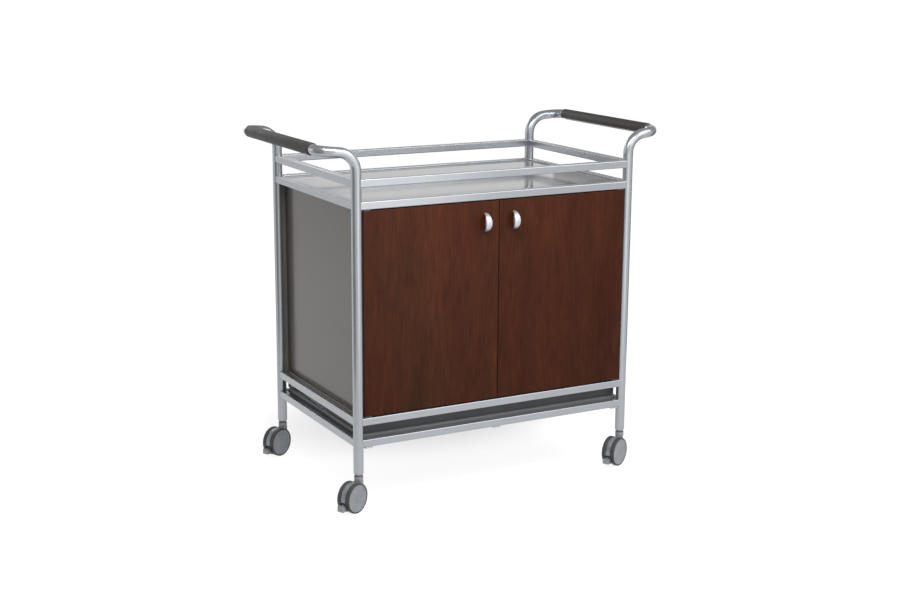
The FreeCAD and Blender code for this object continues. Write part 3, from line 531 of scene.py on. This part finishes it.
def floor():
    """A wide pale floor: white to the eye, with a soft painted shadow behind the cart."""
    mesh = bpy.data.meshes.new("floor")
    corners = [(-FLOOR_HALF, -FLOOR_HALF, 0), (FLOOR_HALF, -FLOOR_HALF, 0),
               (FLOOR_HALF, FLOOR_HALF, 0), (-FLOOR_HALF, FLOOR_HALF, 0)]
    mesh.from_pydata(corners, [], [(0, 1, 2, 3)])
    made = material("floor", (0.35, 0.35, 0.35), 0.9, specular=0.1)
    tree = made.node_tree
    behind = tree.nodes.new("ShaderNodeMapping")
    behind.inputs["Scale"].default_value = PAINTED_SHADOW_SCALE
    behind.inputs["Location"].default_value = PAINTED_SHADOW_SHIFT
    coordinates = tree.nodes.new("ShaderNodeTexCoord")
    tree.links.new(coordinates.outputs["Object"], behind.inputs["Vector"])
    distance = tree.nodes.new("ShaderNodeVectorMath")
    distance.operation = "LENGTH"
    tree.links.new(behind.outputs["Vector"], distance.inputs[0])
    # painted shadow: the glow is lowest in the middle of the ellipse behind the cart
    fade = tree.nodes.new("ShaderNodeMapRange")
    fade.interpolation_type = "SMOOTHSTEP"
    for name, value in (("From Min", PAINTED_SHADOW_NEAR), ("From Max", PAINTED_SHADOW_FAR),
                        ("To Min", GLOW_IN_PAINTED_SHADOW), ("To Max", GLOW_FAR)):
        fade.inputs[name].default_value = value
    tree.links.new(distance.outputs["Value"], fade.inputs["Value"])
    glow = tree.nodes.new("ShaderNodeMath")
    glow.operation = "MULTIPLY"
    tree.links.new(seen(tree), glow.inputs[0])
    tree.links.new(fade.outputs["Result"], glow.inputs[1])
    shader = tree.nodes["Principled BSDF"]
    shader.inputs["Emission Color"].default_value = (1, 1, 1, 1)
    tree.links.new(glow.outputs[0], shader.inputs["Emission Strength"])
    mesh.materials.append(made)
    plane = bpy.data.objects.new("floor", mesh)
    scene.collection.objects.link(plane)


def softbox(name, location, target, size, power):
    """A soft lamp that lights and is mirrored, but isn't seen itself."""
    data = bpy.data.lights.new(name, "AREA")
    data.shape = "RECTANGLE"
    data.size, data.size_y = size
    data.energy = power
    lamp = bpy.data.objects.new(name, data)
    scene.collection.objects.link(lamp)
    lamp.location = location
    lamp.rotation_euler = (Vector(target) - Vector(location)).to_track_quat("-Z", "Y").to_euler()
    lamp.visible_camera = False


def card(name, middle, normal, size, grey, glow=0.0):
    """A card that only reflections see, for a painted reflection: a grey card paints a dark band,
    and a glowing card, though it is no lamp, paints a highlight along the silver tubes.
    """
    turn = Vector(normal).to_track_quat("Z", "Y").to_matrix()
    wide, high = size[0] / 2, size[1] / 2
    corners = [(-wide, -high), (wide, -high), (wide, high), (-wide, high)]
    mesh = bpy.data.meshes.new(name)
    places = [Vector(middle) + turn @ Vector((x, y, 0)) for x, y in corners]
    mesh.from_pydata(places, [], [(0, 1, 2, 3)])
    made = material(name, (grey, grey, grey), 0.9, specular=0.0)
    shader = made.node_tree.nodes["Principled BSDF"]
    shader.inputs["Emission Color"].default_value = (1, 1, 1, 1)
    shader.inputs["Emission Strength"].default_value = glow
    mesh.materials.append(made)
    panel = bpy.data.objects.new(name, mesh)
    scene.collection.objects.link(panel)
    panel.visible_camera = False
    panel.visible_diffuse = False
    panel.visible_transmission = False
    panel.visible_shadow = False


def camera():
    """The photograph's camera, fitted to the posts, rails and handles."""
    yaw, pitch, roll = 0.4940, -0.2266, 0.0052  # radians
    place = (-1.8478477, -3.4179545, 1.3305581)
    lens, sensor_width = 60.8993, 36  # mm
    forward = math.cos(pitch)
    ahead = Vector((math.sin(yaw) * forward, math.cos(yaw) * forward, math.sin(pitch)))
    level = Vector((math.cos(yaw), -math.sin(yaw), 0))
    upright = level.cross(ahead)
    right = level * math.cos(roll) + upright * math.sin(roll)
    up = upright * math.cos(roll) - level * math.sin(roll)
    data = bpy.data.cameras.new("camera")
    data.lens = lens
    data.sensor_width = sensor_width
    made = bpy.data.objects.new("camera", data)
    turn = Matrix((right, up, -ahead)).transposed().to_4x4()
    made.matrix_world = Matrix.Translation(place) @ turn
    scene.collection.objects.link(made)
    scene.camera = made


world()
floor()
camera()
# lamps: place, target, size, watts; cards, which paint reflections: middle, normal, size, grey,
# glow
softbox("key", (0.9, -2.3, 1.3), (0.0, -0.1, 0.55), (1.4, 0.8), 6)
softbox("front_top", (-0.35, -0.85, 1.5), (-0.05, -0.2, 0.6), (1.3, 0.4), 15)
softbox("overhead", (1.15, -1.3, 2.0), (0.0, -0.1, 0.5), (1.5, 1.0), 16)
softbox("side", (-2.6, 1.3, 1.2), (-0.2, 0.1, 0.45), (1.2, 1.4), 5)
softbox("back", (-0.5, 3.0, 1.8), (0, 0.2, 0.5), (1.6, 1.2), 16)
# painted reflections: the grey cards paint dark bands and the glowing cards paint highlights on the
# silver
card("left_dark_reflection_card", (-1.5, -0.45, 0.6), (1, 0, 0), (1.4, 1.3), 0.48)
card("right_dark_reflection_card", (1.5, 0.7, 0.5), (-1, 0, 0), (2.4, 1.2), 0.5)
card("front_highlight_card", (0.05, -1.55, 0.38), (0, 1, 0), (1.1, 0.74), 0.5, glow=1.7)
card("upper_highlight_card", (0.8, -1.8, 1.25), (-0.3, 1, -0.35), (1.3, 0.5), 0.5, glow=3.0)

scene.view_settings.view_transform = "Standard"
